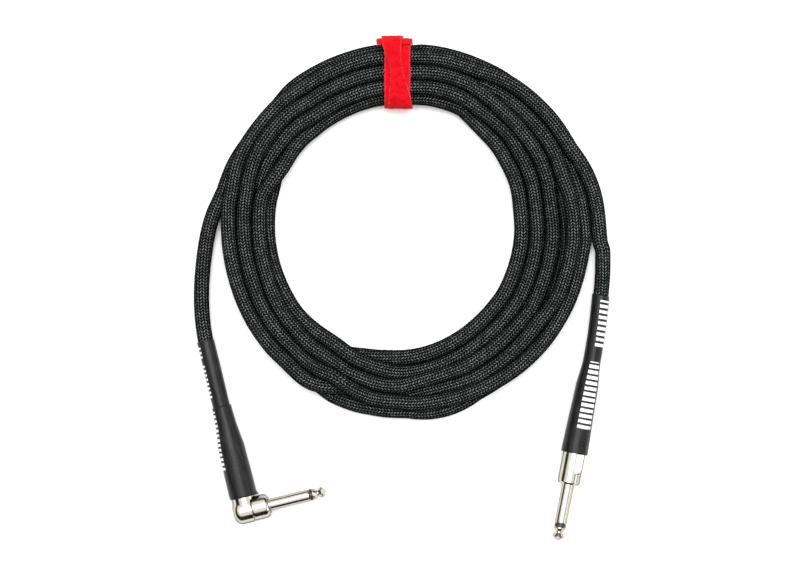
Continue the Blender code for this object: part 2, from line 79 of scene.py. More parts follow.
ANGLED_CORNER = (-84.0, -120.1)
ANGLED_HEIGHT = 7.55
ANGLED_SHAFT_HEADING = 13.7
ANGLED_SHOULDER = 13.0
ANGLED_SLEEVE = (7.4, 94.4)
ANGLED_STEP = 57.9
ANGLED_BEND = (-1.7, 0.0)

STRAIGHT_SHOULDER = (89.8, -105.8)
STRAIGHT_HEIGHT = 7.35
STRAIGHT_CABLE_HEADING = 79.1
STRAIGHT_SLEEVE = (17.0, 103.6)
STRAIGHT_STEP = 65.7
STRAIGHT_BEND = (-1.6, -1.9)
SHELL_R = 5.95
SHELL_BORE_R = 5.2
SHELL_LENGTH = 34.0
POCKET_TURN = -35.0
POCKET_FLOOR = 5.35
POCKET_HALF_WIDTH = 2.5
POCKET_END = -6.0
SHAFT_BORE_R = 2.05
TUBE_R = (1.75, 1.2)
ROD_R = 0.9
TIP = [
    (3.05, 23.9), (3.05, 24.4), (1.75, 26.2), (1.75, 26.7),
    (3.12, 28.5), (2.95, 29.1), (0.6, 30.9), (0.0, 31.0),
]  # fmt: skip
GAP = 0.3  # between two pieces that don't quite touch

STRAP_T = 1.1
STRAP_X = -2.6
STRAP_HALF_WIDTH = 7.0
STRAP_Y = (97.75, 132.85)
STRAP_Z = (0.55, 18.75)
STRAP_CORNER = 6.0
HEAD_X = -4.1
HEAD_HALF_WIDTH = 9.8
HEAD_ARC = (2.0, 56.0)
FLAP_T = 1.0
FLAP_ARC = (-6.0, 58.0)
FLAP_END_ARC = (90.0, 163.0)
# (share of the flap's length, its middle in x, its half width)
FLAP_OUTLINE = [
    (0.0, -5.0, 6.2), (0.2, -5.6, 5.3), (0.5, -3.2, 3.5), (0.8, -1.4, 5.8), (1.0, -1.0, 6.8),
]  # fmt: skip

# Where each free stretch of cable lies, from the angled sleeve and up to the straight one.
ANGLED_LEAD = [
    (-108.2, -14.0, 4.7), (-108.4, -2.0, 4.25), (-107.5, 12.0, 4.25), (-105.3, 25.0, 4.25),
]  # fmt: skip
STRAIGHT_LEAD = [(108.4, 8.0, 4.75), (108.4, 18.0, 4.7), (107.9, 27.0, 5.6), (106.9, 35.3, 7.2)]

# ---------------------------------------------------------------------------------------------
# The cable's route
# ---------------------------------------------------------------------------------------------

# Where each turn of the coil lies. A turn starts at the left (180 degrees) and goes over the top,
# with a place every 30 degrees: its distance from the coil's middle, and how many strands it is
# off the table.
LANES = [
    [(100.5, 0), (91.8, 0), (93.4, 0), (95.2, 0), (97.3, 0), (100.8, 0),
     (102.4, 0), (102.6, 0.2), (99.6, 0.9), (94.4, 1.1), (87.4, 1.3), (84.0, 1)],
    [(82.4, 1), (84.6, 1.4), (82.8, 1), (85.2, 1), (87.4, 1), (87.0, 0.8),
     (85.4, 0.1), (84.3, 0.1), (82.0, 0.85), (84.0, 0.8), (79.2, 0.95), (76.4, 0.95)],
    [(73.8, 1), (70.3, 0.9), (68.8, 0), (69.9, 0), (72.4, 0), (68.9, 0),
     (67.8, 0), (67.6, 0), (69.6, 0), (71.2, 0), (76.2, 0), (77.6, 0)],
    [(77.4, 0.1), (78.0, 0.75), (75.0, 1), (76.8, 1), (79.4, 1), (78.2, 0.4),
     (76.6, 0), (76.2, 0), (77.4, 0), (78.3, 0.1), (70.4, 0.8), (68.2, 0)],
    [(68.6, 0), (73.0, 0), (77.2, 0), (78.7, 0), (82.5, 0), (89.8, 0),
     (93.8, 0), (95.6, 0), (101.2, 0), (101.2, 0), (93.0, 0), (86.0, 0)],
    [(86.0, 0), (83.5, 0), (85.0, 0), (87.0, 0), (90.8, 0.5), (94.6, 1),
     (95.6, 1), (93.9, 1), (90.0, 0.2), (88.8, 0), (94.0, 1), (90.3, 0.8)],
    [(89.2, 1), (91.8, 1), (91.0, 1), (94.4, 1), (98.8, 1), (103.6, 1)],
]
# More places where strands cross, as (turn, angle, distance, strands off the table).
CROSSINGS = [
    (0, 170, 98.0, 0),
    (0, 160, 92.6, 0),
    (0, 262, 93.6, 1.2),
    (0, 255, 91.2, 1.6),
    (0, 248, 88.4, 1.75),
    (1, 165, 83.8, 1.2),
    (1, 135, 84.6, 1.2),
    (1, 262, 83.4, 0.95),
    (1, 255, 81.9, 0.95),
    (1, 248, 80.9, 0.95),
    (2, 165, 72.0, 0.95),
    (2, 158, 71.2, 1),
    (2, 140, 69.6, 0.7),
    (2, 130, 69.2, 0.4),
    (2, 246, 73.0, 0),
    (2, 252, 71.0, 0),
    (2, 260, 70.6, 0),
    (3, 165, 78.1, 0.4),
    (3, 140, 77.2, 0.9),
    (3, 264, 76.6, 0.6),
    (3, 258, 73.6, 0.9),
    (3, 252, 70.8, 1),
    (3, 246, 69.6, 0.95),
    (4, 165, 70.9, 0),
    (4, 158, 71.6, 0),
    (4, 225, 89.2, 0),
    (4, 250, 95.2, 0),
    (4, 262, 98.4, 0),
    (5, 262, 90.0, 0.25),
    (5, 255, 91.2, 0.6),
    (5, 248, 92.6, 0.9),
    (5, 225, 92.6, 0.95),
    (5, 195, 86.8, 0.8),
    (6, 75, 97.0, 1),
    (6, 20, 105.8, 1),
    (6, 10, 107.9, 0.75),
]
STATION = 2.0  # degrees between two points of the route
PER_TURN = round(360 / STATION)
FIRST_STATION = -30.0
LAST_STATION = 2356.0
ROUNDING = 3.2  # how many stations the lanes are averaged over
START_HELD = -12.0  # the route keeps to its own points before this angle, and after END_HELD
END_HELD = 2344.0
NO_CEILING = 60.0
NO_WALL = 200.0

STRAP_MIDDLE = 89.2  # the angle of the coil at the strap
STRAP_LIFT = 1.2  # the strap's lower run lies under the coil
STRAP_RAMP = (18.0, 6.0)  # degrees off the strap where the lift starts, and where it is full
STRAP_ROOM = (70.1, 95.55)  # nearest and furthest that a strand's middle lies inside the strap
STRAP_ROOM_REACH = 6.0
STRAP_CEILING = 13.9
STRAP_CEILING_REACH = 7.0

SETTLE_STEPS = 1500
LANE_PULL = 0.05
SINK = 0.012
BENDING = 0.06
STIFFNESS = 6  # how often bending is smoothed in each step
PUSH_PASSES = 3
PRESSED_D = 8.25  # how close two middles come, because the braid gives a little
CLING_REACH = 1.5  # strands with a smaller gap than this between them draw together
CLING = 0.1


def plug_matrix(plan, height, heading):
    """A plug's own frame, in metres: Z runs along a heading in plan, and X points up."""
    along = Vector((math.cos(math.radians(heading)), math.sin(math.radians(heading)), 0.0))
    up = Vector((0.0, 0.0, 1.0))
    matrix = Matrix((up, along.cross(up), along)).transposed().to_4x4()
    matrix.translation = Vector((plan[0], plan[1], height)) * MM
    return matrix


ANGLED_SHAFT = plug_matrix(ANGLED_CORNER, ANGLED_HEIGHT, ANGLED_SHAFT_HEADING)
ANGLED_CABLE = plug_matrix(ANGLED_CORNER, ANGLED_HEIGHT, ANGLED_SHAFT_HEADING + 90.0)
STRAIGHT_SHAFT = plug_matrix(STRAIGHT_SHOULDER, STRAIGHT_HEIGHT, STRAIGHT_CABLE_HEADING + 180.0)
STRAIGHT_CABLE = plug_matrix(STRAIGHT_SHOULDER, STRAIGHT_HEIGHT, STRAIGHT_CABLE_HEADING)


def bend_offset(bend, step, end, along):
    """How far a point at a distance along the cable has moved up and sideways with its sleeve."""
    share = max(0.0, (along - step) / (end - step)) ** 2
    return Vector((bend[0] * share, bend[1] * share, 0.0))


def on_cable(matrix, bend, step, end, along):
    """The cable's middle at a distance along it inside a sleeve, in millimetres."""
    local = bend_offset(bend, step, end, along) + Vector((0.0, 0.0, along))
    return np.array(matrix @ (local * MM)) / MM


def angled_at(along):
    return on_cable(ANGLED_CABLE, ANGLED_BEND, ANGLED_STEP, ANGLED_SLEEVE[1], along)


def straight_at(along):
    return on_cable(STRAIGHT_CABLE, STRAIGHT_BEND, STRAIGHT_STEP, STRAIGHT_SLEEVE[1], along)


def polar(point):
    """A point's angle round the coil's middle, its distance from it, and its height."""
    dx, dy = point[0] - COIL_MIDDLE[0], point[1] - COIL_MIDDLE[1]
    return math.degrees(math.atan2(dy, dx)), math.hypot(dx, dy), point[2]


def route_knots():
    """Rows of (angle travelled from the left, distance from the middle, height) in order."""
    rows = []
    for point in [angled_at(ANGLED_SLEEVE[1]), *ANGLED_LEAD]:
        angle, distance, height = polar(point)
        rows.append((180.0 - angle % 360.0, distance, height))
    for turn, lane in enumerate(LANES):
        for i, (distance, level) in enumerate(lane):
            rows.append((360.0 * turn + 30.0 * i, distance, CABLE_R + CABLE_D * level))
    for turn, angle, distance, level in CROSSINGS:
        rows.append((360.0 * turn + (180.0 - angle) % 360.0, distance, CABLE_R + CABLE_D * level))
    last_left = 360.0 * (len(LANES) - 1) + 180.0
    for point in [*STRAIGHT_LEAD, straight_at(STRAIGHT_SLEEVE[1])]:
        angle, distance, height = polar(point)
        rows.append((last_left - angle, distance, height))
    return np.array(sorted(rows))


def smoothed(values, sigma):
    """Evenly spaced values, averaged with a bell sigma places wide. The ends go straight on."""
    reach = int(3 * sigma)
    bell = np.exp(-0.5 * (np.arange(-reach, reach + 1) / sigma) ** 2)
    before = 2 * values[0] - values[reach:0:-1]
    after = 2 * values[-1] - values[-2 : -reach - 2 : -1]
    return np.convolve(np.concatenate([before, values, after]), bell / bell.sum(), "valid")


def settled_route():
    """The coil's points once its strands lie on the table, on each other and inside the strap.

    Each strand is drawn to its own lane, sinks, resists bending, is pushed off every strand that it
    overlaps at the same angle round the coil, and is drawn to any that it nearly touches.
    """
    knots = route_knots()
    travelled = np.arange(FIRST_STATION, LAST_STATION + 1.0, STATION)
    lane = smoothed(np.interp(travelled, knots[:, 0], knots[:, 1]), ROUNDING)
    height = smoothed(np.interp(travelled, knots[:, 0], knots[:, 2]), ROUNDING)
    distance = lane.copy()
    angle = np.radians(180.0 - travelled)
    beside_strap = np.cos(angle - math.radians(STRAP_MIDDLE))
    off_strap = np.degrees(np.arccos(np.clip(beside_strap, -1.0, 1.0)))
    ramp = np.clip((STRAP_RAMP[0] - off_strap) / (STRAP_RAMP[0] - STRAP_RAMP[1]), 0.0, 1.0)
    lowest = CABLE_R + STRAP_LIFT * ramp * ramp * (3.0 - 2.0 * ramp)
    highest = np.where(off_strap < STRAP_CEILING_REACH, STRAP_CEILING, NO_CEILING)
    nearest = np.where(off_strap < STRAP_ROOM_REACH, STRAP_ROOM[0], 0.0)
    furthest = np.where(off_strap < STRAP_ROOM_REACH, STRAP_ROOM[1], NO_WALL)
    held = (travelled < START_HELD) | (travelled > END_HELD)
    held_distance, held_height = lane[held], height[held]
    count = len(travelled)
    for _ in range(SETTLE_STEPS):
        distance += LANE_PULL * (lane - distance)
        height -= SINK
        for line in (distance, height) * STIFFNESS:
            bend = line[4:] - 4 * line[3:-1] + 6 * line[2:-2] - 4 * line[1:-3] + line[:-4]
            line[2:-2] -= BENDING * bend
        for _ in range(PUSH_PASSES):
            for turns_apart in range(1, len(LANES)):
                n = count - turns_apart * PER_TURN
                if n <= 0:
                    continue
                other = slice(count - n, count)
                across = distance[other] - distance[:n]
                above = height[other] - height[:n]
                apart = np.hypot(across, above) + 1e-9
                room = PRESSED_D - apart
                draw = np.where(room > -CLING_REACH, CLING * room, 0.0)
                push = np.where(room > 0.0, 0.5 * room, draw) / apart
                distance[:n] -= push * across
                height[:n] -= push * above
                distance[other] += push * across
                height[other] += push * above
            height = np.clip(height, lowest, highest)
            distance = np.clip(distance, nearest, furthest)
        distance[held] = held_distance
        height[held] = held_height
    x = COIL_MIDDLE[0] + distance * np.cos(angle)
    y = COIL_MIDDLE[1] + distance * np.sin(angle)
    return np.stack([x, y, height], axis=1)


def catmull_rom(points, spacing, steps=12):
    """Points at an even spacing along a smooth curve through the given ones, and its length."""
    ends = np.concatenate([[2 * points[0] - points[1]], points, [2 * points[-1] - points[-2]]])
    a, b, c, d = ends[:-3], ends[1:-2], ends[2:-1], ends[3:]
    fine = []
    squared, cubed = 2 * a - 5 * b + 4 * c - d, 3 * b - a - 3 * c + d
    for t in (i / steps for i in range(steps)):
        fine.append((2 * b + (c - a) * t + squared * t * t + cubed * t**3) / 2)
    fine = np.concatenate([np.stack(fine, axis=1).reshape(-1, 3), points[-1:]])
    lengths = np.concatenate([[0.0], np.cumsum(np.linalg.norm(np.diff(fine, axis=0), axis=1))])
    at = np.linspace(0.0, lengths[-1], round(lengths[-1] / spacing) + 1)
    return np.stack([np.interp(at, lengths, fine[:, i]) for i in range(3)], axis=1), lengths[-1]


# ---------------------------------------------------------------------------------------------
# Materials
# ---------------------------------------------------------------------------------------------


class Tree:
    """A node tree with short ways to add nodes."""

    def __init__(self, tree):
        self.tree = tree

    def add(self, kind, **settings):
        node = self.tree.nodes.new(kind)
        for name, value in settings.items():
            setattr(node, name, value)
        return node

    def feed(self, socket, value):
        if isinstance(value, bpy.types.NodeSocket):
            self.tree.links.new(value, socket)
        else:
            socket.default_value = value

    def math(self, operation, *values):
        node = self.add("ShaderNodeMath", operation=operation)
        for socket, value in zip(node.inputs, values):
            self.feed(socket, value)
        return node.outputs[0]

    def curve(self, value, low, high, to_low=0.0, to_high=1.0, shape="LINEAR"):
        node = self.add("ShaderNodeMapRange", clamp=True, interpolation_type=shape)
        names = ("Value", "From Min", "From Max", "To Min", "To Max")
        for name, number in zip(names, (value, low, high, to_low, to_high)):
            self.feed(node.inputs[name], number)
        return node.outputs[0]


class Nodes(Tree):
    """A material's node tree."""

    def __init__(self, name):
        self.material = bpy.data.materials.new(name)
        self.material.use_nodes = True
        super().__init__(self.material.node_tree)
        self.shader = self.tree.nodes["Principled BSDF"]

    def set(self, **values):
        for name, value in values.items():
            self.shader.inputs[name.replace("_", " ")].default_value = value

    def mix(self, factor, first, second):
        node = self.add("ShaderNodeMix", data_type="RGBA")
        self.feed(node.inputs["Factor"], factor)
        self.feed(node.inputs[6], first)
        self.feed(node.inputs[7], second)
        return node.outputs[2]

    def noise(self, scale, detail=2.0, vector=None):
        node = self.add("ShaderNodeTexNoise")
        node.inputs["Scale"].default_value = scale
        node.inputs["Detail"].default_value = detail
        if vector is not None:
            self.feed(node.inputs["Vector"], vector)
        return node.outputs["Fac"]

    def place(self):
        """The point in the shared frame: each mesh here keeps its place in its vertices."""
        return self.add("ShaderNodeTexCoord").outputs["Object"]

    def uv(self):
        split = self.add("ShaderNodeSeparateXYZ")
        self.feed(split.inputs[0], self.add("ShaderNodeTexCoord").outputs["UV"])
        return split.outputs[0], split.outputs[1]

    def bump(self, height, distance, strength=1.0):
        node = self.add("ShaderNodeBump")
        node.inputs["Distance"].default_value = distance
        node.inputs["Strength"].default_value = strength
        self.feed(node.inputs["Height"], height)
        self.feed(self.shader.inputs["Normal"], node.outputs[0])


BRAID_ROWS = 16  # rows of floats round the cable, leaning to one side and the other in turn
BRAID_PITCH = 1.65  # from one float to the next along a row
FILAMENTS = 5.0  # in each float
YARN_DARK = (0.0003, 0.0004, 0.0004, 1.0)
# the colour of the painted glints on the floats' crests
PAINTED_GLINT_COLOUR = (0.19, 0.208, 0.2, 1.0)


def braid_material():
    """Black braid: rows of slanting multi-filament floats that pass over and under.

    The floats' glints are painted highlights in the base colour. They are lightest along the
    strand's top and fade down its sides, a painted shade in place of the shade where its neighbours
    lie close and keep the light out.
    """
    n = Nodes("braid_yarn")
    across, along = n.uv()
    row = n.math("FLOOR", across)
    inside = n.math("FRACT", across)
    lean = n.math("SUBTRACT", n.math("MULTIPLY", n.math("FLOORED_MODULO", row, 2.0), 2.0), 1.0)
    phase = n.math("ADD", along, n.math("MULTIPLY", lean, inside))
    float_ = n.math("FRACT", phase)
    hump = n.math("SINE", n.math("MULTIPLY", float_, math.pi))
    length = n.math("SINE", n.math("MULTIPLY", inside, math.pi))
    body = n.math("MULTIPLY", n.math("POWER", hump, 0.8), n.math("POWER", length, 0.45))
    # painted highlight: a pale dash on each float's crest, in the base colour, in place of a glint
    # of light
    painted_glint = n.math("MULTIPLY", n.math("POWER", hump, 4.0), n.math("POWER", length, 2.4))
    filament = n.math("FRACT", n.math("MULTIPLY", float_, FILAMENTS))
    filament = n.math("SINE", n.math("MULTIPLY", filament, math.pi))
    number = n.add("ShaderNodeCombineXYZ")
    n.feed(number.inputs[0], row)
    n.feed(number.inputs[1], n.math("FLOOR", phase))
    chance = n.add("ShaderNodeTexWhiteNoise", noise_dimensions="2D")
    n.feed(chance.inputs["Vector"], number.outputs[0])
    uneven = n.math("POWER", chance.outputs["Value"], 1.5)
    shade = n.math("ADD", 0.6, n.math("MULTIPLY", uneven, 0.9))
    # patchy wear: the glints vary a little from place to place
    dimming = n.curve(n.noise(60.0, 3.0, n.place()), 0.35, 0.7, 0.9, 1.1)
    # painted shade: the glints darken as the surface turns away from straight up, in place of the
    # shade between neighbouring strands
    facing = n.add("ShaderNodeSeparateXYZ")
    n.feed(facing.inputs[0], n.add("ShaderNodeNewGeometry").outputs["Normal"])
    dimming = n.math("MULTIPLY", dimming, n.curve(facing.outputs[2], 0.3, 0.97, 0.12, 1.0))
    light = n.math("MULTIPLY", n.math("MULTIPLY", painted_glint, shade), dimming)
    light = n.math("MULTIPLY", light, n.curve(filament, 0.0, 1.0, 0.75, 1.0))
    n.feed(n.shader.inputs["Base Color"], n.mix(light, YARN_DARK, PAINTED_GLINT_COLOUR))
    n.feed(n.shader.inputs["Roughness"], n.curve(body, 0.2, 1.0, 0.85, 0.5))
    n.bump(n.math("ADD", body, n.math("MULTIPLY", filament, 0.08)), 0.00028)
    n.set(Specular_IOR_Level=0.0)
    return n.material


def plain_material(name, colour, roughness, metallic=0.0):
    """A material for what sits inside the plugs: its colour and roughness vary a little."""
    n = Nodes(name)
    n.set(Metallic=metallic)
    spots = n.noise(420.0, 3.0, n.place())
    darker = tuple(c * 0.8 for c in colour) + (1.0,)
    n.feed(n.shader.inputs["Base Color"], n.mix(spots, darker, (*colour, 1.0)))
    varied = n.curve(spots, 0.3, 0.7, roughness * 0.85, roughness * 1.15)
    n.feed(n.shader.inputs["Roughness"], varied)
    return n.material


def nickel_material():
    """Nickel plate with a faint fine grain and handling haze."""
    n = Nodes("nickel_plate")
    n.set(Metallic=1.0, Specular_Tint=(0.0, 0.0, 0.0, 1.0))
    haze = n.noise(160.0, 4.0, n.place())
    fine = n.noise(2500.0, 2.0, n.place())
    colour = n.mix(haze, (0.42, 0.395, 0.335, 1.0), (0.55, 0.525, 0.465, 1.0))
    n.feed(n.shader.inputs["Base Color"], colour)
    n.feed(n.shader.inputs["Roughness"], n.curve(haze, 0.3, 0.75, 0.12, 0.24))
    n.bump(fine, 0.00001, 0.35)
    return n.material


def shrink_material(name, bars):
    """Heat-shrink tube: satin, faintly scuffed, with groups of plain printed bars.

    A group is (turn from, turn to, distance from, distance to, pitch, a bar's share of the pitch).
    """
    n = Nodes(name)
    around, along = n.uv()
    long_scuffs = n.add("ShaderNodeMapping")
    n.feed(long_scuffs.inputs["Vector"], n.add("ShaderNodeTexCoord").outputs["UV"])
    long_scuffs.inputs["Scale"].default_value = (60.0, 0.16, 1.0)
    scuffs = n.noise(1.0, 3.0, long_scuffs.outputs[0])
    grain = n.noise(900.0, 3.0, n.place())

    def inside(value, low, high):
        over, under = n.math("GREATER_THAN", value, low), n.math("LESS_THAN", value, high)
        return n.math("MULTIPLY", over, under)

    print_ = 0.0
    for low_turn, high_turn, low, high, pitch, share in bars:
        turn = n.math("MULTIPLY", around, 360.0)
        band = inside(turn, low_turn, high_turn)
        reach = inside(along, low, high)
        step = n.math("FRACT", n.math("DIVIDE", n.math("SUBTRACT", along, low), pitch))
        bar = n.math("MULTIPLY", n.math("MULTIPLY", band, reach), n.math("LESS_THAN", step, share))
        print_ = bar if print_ == 0.0 else n.math("MAXIMUM", print_, bar)
    # the printed bars are worn away in patches
    dimming = n.curve(n.noise(700.0, 3.0, n.place()), 0.34, 0.42, 0.35, 1.0)
    streaks = n.curve(scuffs, 0.35, 0.65)
    black = n.mix(streaks, (0.0015, 0.0017, 0.0018, 1.0), (0.012, 0.0125, 0.0125, 1.0))
    colour = n.mix(n.math("MULTIPLY", print_, dimming), black, (0.78, 0.78, 0.77, 1.0))
    n.feed(n.shader.inputs["Base Color"], colour)
    n.feed(n.shader.inputs["Roughness"], n.curve(n.math("ADD", scuffs, grain), 0.7, 1.3, 0.3, 0.46))
    unevenness = n.math("ADD", n.math("MULTIPLY", scuffs, 0.6), n.math("MULTIPLY", grain, 0.4))
    n.bump(unevenness, 0.00006, 0.6)
    n.set(Specular_IOR_Level=0.2)
    return n.material


def felt_material():
    """Brushed loop felt: short red fibres, paler where the nap stands up along an edge."""
    n = Nodes("tie_felt")
    edge, _ = n.uv()
    nap = n.noise(1400.0, 4.0, n.place())
    clumps = n.noise(330.0, 3.0, n.place())
    body = n.mix(n.curve(clumps, 0.3, 0.7), (0.36, 0.0015, 0.0045, 1.0), (0.58, 0.0035, 0.009, 1.0))
    body = n.mix(n.curve(nap, 0.35, 0.7, 0.0, 0.5), body, (0.62, 0.009, 0.016, 1.0))
    pale = n.math("MULTIPLY", n.curve(edge, 0.9, 1.0), n.curve(nap, 0.35, 0.65, 0.0, 0.45))
    n.feed(n.shader.inputs["Base Color"], n.mix(pale, body, (0.5, 0.09, 0.11, 1.0)))
    n.set(Roughness=0.95, Specular_IOR_Level=0.05, Sheen_Weight=0.08, Sheen_Roughness=0.5)
    n.shader.inputs["Sheen Tint"].default_value = (1.0, 0.35, 0.38, 1.0)
    n.bump(n.math("ADD", nap, n.math("MULTIPLY", clumps, 0.8)), 0.00035, 0.8)
    return n.material


# ---------------------------------------------------------------------------------------------
# Meshes
# ---------------------------------------------------------------------------------------------


def new_object(name, mesh, material, body="root"):
    obj = bpy.data.objects.new(name, mesh)
    bpy.context.scene.collection.objects.link(obj)
    mesh.materials.clear()
    mesh.materials.append(material)
    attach(obj, body)
    return obj


def grid_mesh(name, points, uvs=None, looped=False, sharp=None):
    """A skin through rings of points, either capped at its two ends or looped into a closed round.

    uvs has one more column than a ring has points, and a looped skin's has one more row.
    """
    rings, count = points.shape[:2]
    rows = np.arange(rings if looped else rings - 1)
    first, second = rows[:, None] * count, ((rows + 1) % rings)[:, None] * count
    here = np.arange(count)[None, :]
    there = (here + 1) % count
    quads = np.stack([first + here, first + there, second + there, second + here], axis=-1)
    quads = quads.reshape(-1, 4)
    caps = np.empty((0, count), int)
    if not looped:
        caps = np.stack([np.arange(count)[::-1], (rings - 1) * count + np.arange(count)])
    loops = np.concatenate([quads.reshape(-1), caps.reshape(-1)]).astype(np.int32)
    sizes = np.concatenate([np.full(len(quads), 4), np.full(len(caps), count)])
    starts = np.concatenate([[0], np.cumsum(sizes)[:-1]]).astype(np.int32)
    mesh = bpy.data.meshes.new(name)
    mesh.vertices.add(rings * count)
    mesh.vertices.foreach_set("co", (points.reshape(-1, 3) * MM).astype(np.float32).reshape(-1))
    mesh.loops.add(len(loops))
    mesh.loops.foreach_set("vertex_index", loops)
    mesh.polygons.add(len(sizes))
    mesh.polygons.foreach_set("loop_start", starts)
    if uvs is not None:
        wide = count + 1
        low, high = rows[:, None] * wide, (rows[:, None] + 1) * wide
        corners = np.stack([low + here, low + here + 1, high + here + 1, high + here], axis=-1)
        values = np.zeros((len(loops), 2), np.float32)
        values[: quads.size] = uvs.reshape(-1, 2)[corners.reshape(-1)]
        mesh.uv_layers.new(name="UVMap").data.foreach_set("uv", values.reshape(-1))
    mesh.update(calc_edges=True)
    mesh.validate()
    shape = bmesh.new()
    shape.from_mesh(mesh)
    bmesh.ops.recalc_face_normals(shape, faces=shape.faces)
    shape.to_mesh(mesh)
    shape.free()
    mesh.shade_smooth()
    if sharp is not None:
        mesh.set_sharp_from_angle(angle=math.radians(sharp))
    return mesh


def spaced(profile, spacing, looped):
    """An outline of (radius, distance) with points added so that none of its sides is long."""
    corners = [np.array(p, float) for p in profile]
    pairs = zip(corners, corners[1:] + corners[:1]) if looped else zip(corners, corners[1:])
    points = []
    for here, there in pairs:
        steps = max(1, math.ceil(np.linalg.norm(there - here) / spacing))
        points += [here + (there - here) * i / steps for i in range(steps)]
    if not looped:
        points.append(corners[-1])
    return np.array(points)


AXIS_R = 0.004  # a ring on the axis keeps this radius, so that its faces stay whole


def turned_points(profile, matrix, sides, detail=None, bend=None):
    """Rings round a matrix's Z axis. detail moves the radius at each (turn, distance, radius).

    The first point of a ring is straight up, and turns run towards the right of the heading.
    bend is (the bend, where it starts, where it ends) of a shrink sleeve.
    """
    turn = np.radians(np.arange(sides) * 360.0 / sides - 180.0)
    radius = np.repeat(profile[:, :1], sides, axis=1)
    along = np.repeat(profile[:, 1:2], sides, axis=1)
    if detail is not None:
        radius = radius + detail(np.degrees(turn)[None, :], along, radius)
    x, y = radius * np.cos(turn), radius * np.sin(turn)
    if bend is not None:
        (up, right), step, end = bend
        share = np.clip((along - step) / (end - step), 0.0, None) ** 2
        x, y = x + up * share, y + right * share
    local = np.stack([x, y, along], axis=-1)
    turned = np.array(matrix.to_3x3())
    return local @ turned.T + np.array(matrix.translation) / MM


def turned_piece(
    name, profile, matrix, material,
    sides=64, spacing=0.6, looped=True, detail=None, bend=None, sharp=32.0,
):  # fmt: skip
    """A turned solid. A looped profile goes round a bore; any other starts and ends on the axis."""
    rows = spaced(profile, spacing, looped)
    rows[:, 0] = np.maximum(rows[:, 0], AXIS_R)
    points = turned_points(rows, matrix, sides, detail, bend)
    around = np.arange(sides + 1) / sides - 0.5
    along = np.concatenate([rows[:, 1], rows[:1, 1]]) if looped else rows[:, 1]
    uvs = np.stack(np.broadcast_arrays(around[None, :], along[:, None]), axis=-1)
    return new_object(name, grid_mesh(name, points, uvs, looped, sharp), material)


def arc(radius, start, end, count, middle=(0.0, 0.0)):
    angles = [math.radians(start + (end - start) * i / count) for i in range(count + 1)]
    return [(middle[0] + radius * math.cos(a), middle[1] + radius * math.sin(a)) for a in angles]


def waves(points, scale, seed, count=24):
    """Smooth noise between about -1 and 1 at points in millimetres: waves about a scale long."""
    random = np.random.RandomState(seed)
    total = np.zeros(points.shape[:-1])
    for _ in range(count):
        way = random.normal(size=3)
        way *= 2 * np.pi / (scale * random.uniform(0.7, 1.6) * np.linalg.norm(way))
        total += np.sin(points @ way + random.uniform(0, 2 * np.pi))
    return total / math.sqrt(count)


# ---------------------------------------------------------------------------------------------
# The cable
# ---------------------------------------------------------------------------------------------

RING_STEP = BRAID_PITCH / 3
ROUND = 2 * BRAID_ROWS
RELIEF = 0.13  # how far a float stands out
TWIST = 720.0  # how far along the cable its rows turn once round it
IN_SLEEVE = 1.6  # the braid starts this far inside each sleeve
JOIN_CLEAR = 2.5  # the route's first and last points go if they are nearer than this to a sleeve


def braided_tube(name, centres, material):
    """The braid as a tube whose surface rises along each slanting float."""
    along = np.gradient(centres, axis=0)
    along /= np.linalg.norm(along, axis=1)[:, None]
    side = np.cross(along, (0.0, 0.0, 1.0))
    side /= np.linalg.norm(side, axis=1)[:, None]
    up = np.cross(side, along)
    length = np.arange(len(centres)) * RING_STEP
    share = (np.arange(ROUND + 1) + 0.5) / ROUND
    turn = 2 * np.pi * (share[None, :ROUND] + length[:, None] / TWIST)
    row = share[None, :ROUND] * BRAID_ROWS
    lean = np.where(np.floor(row) % 2 == 1, 1.0, -1.0)
    phase = length[:, None] / BRAID_PITCH + lean * (row % 1.0)
    radius = CABLE_R - RELIEF + RELIEF * np.sin(np.pi * (phase % 1.0))
    points = centres[:, None, :] + radius[..., None] * (
        np.cos(turn)[..., None] * side[:, None, :] + np.sin(turn)[..., None] * up[:, None, :]
    )
    across = np.broadcast_to(share[None, :] * BRAID_ROWS, (len(centres), ROUND + 1))
    down = np.broadcast_to(length[:, None] / BRAID_PITCH, across.shape)
    mesh = grid_mesh(name, points, np.stack([across, down], axis=-1))
    return new_object(name, mesh, material)


def make_cable():
    start = [angled_at(ANGLED_SLEEVE[1] - d) for d in (IN_SLEEVE, 0.0)]
    finish = [straight_at(STRAIGHT_SLEEVE[1] - d) for d in (0.0, IN_SLEEVE)]
    route = settled_route()
    if np.linalg.norm(route[0] - start[-1]) < JOIN_CLEAR:
        route = route[1:]
    if np.linalg.norm(route[-1] - finish[0]) < JOIN_CLEAR:
        route = route[:-1]
    centres, length = catmull_rom(np.concatenate([start, route, finish]), RING_STEP)
    cable = braided_tube("cable", centres, braid_material())
    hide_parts("cable_coil", "cable_lead_angled", "cable_lead_straight")
    return cable, centres, length


# ---------------------------------------------------------------------------------------------
# The plugs
# ---------------------------------------------------------------------------------------------


TUBE_BEHIND = 1.9  # how far the ring's tube and the tip's rod run on behind the shaft's rear
ROD_BEHIND = 4.2


